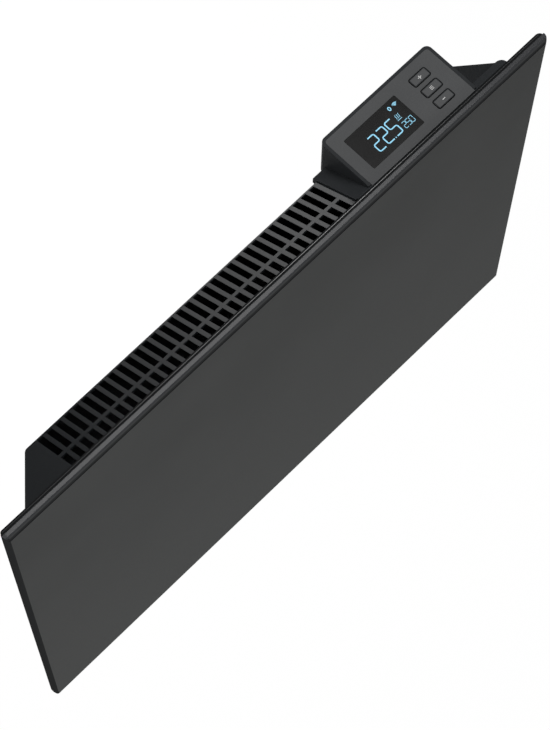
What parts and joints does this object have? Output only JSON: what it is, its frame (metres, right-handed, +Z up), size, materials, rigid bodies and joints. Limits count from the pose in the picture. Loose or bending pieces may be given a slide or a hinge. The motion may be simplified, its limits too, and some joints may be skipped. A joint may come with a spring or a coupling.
{
  "type": "wall panel convector heater",
  "caption": "Flat wall-mounted panel convector heater with a bevelled rear casing, top outlet grille, wall bracket, and a top control unit with a digital display and sprung keys.",
  "frame": {"origin": "on the wall plane, in the middle of the four wall screws of the bracket", "axes": "+X along the panel to the right as seen from the room, +Y into the wall, +Z up; the panel faces -Y"},
  "size_m": [0.447, 0.072, 0.3713],
  "materials": {
    "panel_paint": "satin fine-texture powder coat, anthracite",
    "casing_paint": "satin powder coat, dark anthracite",
    "bracket_paint": "satin powder coat, dark anthracite",
    "housing_plastic": "fine moulded texture",
    "plate_plastic": "fine moulded texture",
    "key_plastic": "fine moulded texture",
    "display_glass": "glossy, dark tinted",
    "inner_plastic": "moulded",
    "circuit_board": "solder resist",
    "fin_aluminium": "extruded",
    "steel": "zinc plated",
    "brass": "turned",
    "ceramic": "unglazed ceramic",
    "silicone": "smooth",
    "spacer_rubber": "moulded"
  },
  "bodies": {
    "heater": {"front_panel": "panel_paint", "panel_frame": "casing_paint", "rear_casing": "casing_paint", "control_housing": "housing_plastic", "control_plate": "plate_plastic", "display_window": "display_glass", "display_module": "inner_plastic", "key_guide": "inner_plastic", "tact_switches": "inner_plastic", "control_board": "circuit_board", "element_fins": "fin_aluminium", "element_rod": "steel", "rod_seals": "ceramic", "terminal_tags": "steel", "element_holder_left": "steel", "element_holder_right": "steel", "holder_bush_left": "silicone", "holder_bush_right": "silicone", "heat_baffle": "steel", "power_board": "circuit_board", "board_standoffs": "inner_plastic", "board_relay": "inner_plastic", "board_transformer": "inner_plastic", "board_plug": "inner_plastic", "board_capacitor": "inner_plastic", "terminal_block": "ceramic", "cable_gland": "inner_plastic", "gland_nut": "inner_plastic", "thermal_cutout": "inner_plastic", "cutout_strap": "steel", "sensor_clip": "inner_plastic", "room_sensor": "steel", "earth_stud": "brass", "earth_nut": "brass", "element_leads": "silicone", "supply_leads": "silicone", "control_ribbon": "silicone", "wall_bracket": "bracket_paint", "lock_screws": "steel", "wall_spacers": "spacer_rubber", "floor_screws": "steel", "casing_screws": "steel", "panel_screws": "steel"},
    "key_minus": {"key_minus": "key_plastic"},
    "key_menu": {"key_menu": "key_plastic"},
    "key_plus": {"key_plus": "key_plastic"}
  },
  "joints": [
    {"name": "key_minus_press", "type": "slide", "parent": "heater", "child": "key_minus", "axis": [0, 0, -1], "range_m": [0, 0.0008], "stiffness_N_per_m": 800, "springref_m": -0.0005},
    {"name": "key_menu_press", "type": "slide", "parent": "heater", "child": "key_menu", "axis": [0, 0, -1], "range_m": [0, 0.0008], "stiffness_N_per_m": 800, "springref_m": -0.0005},
    {"name": "key_plus_press", "type": "slide", "parent": "heater", "child": "key_plus", "axis": [0, 0, -1], "range_m": [0, 0.0008], "stiffness_N_per_m": 800, "springref_m": -0.0005}
  ]
}
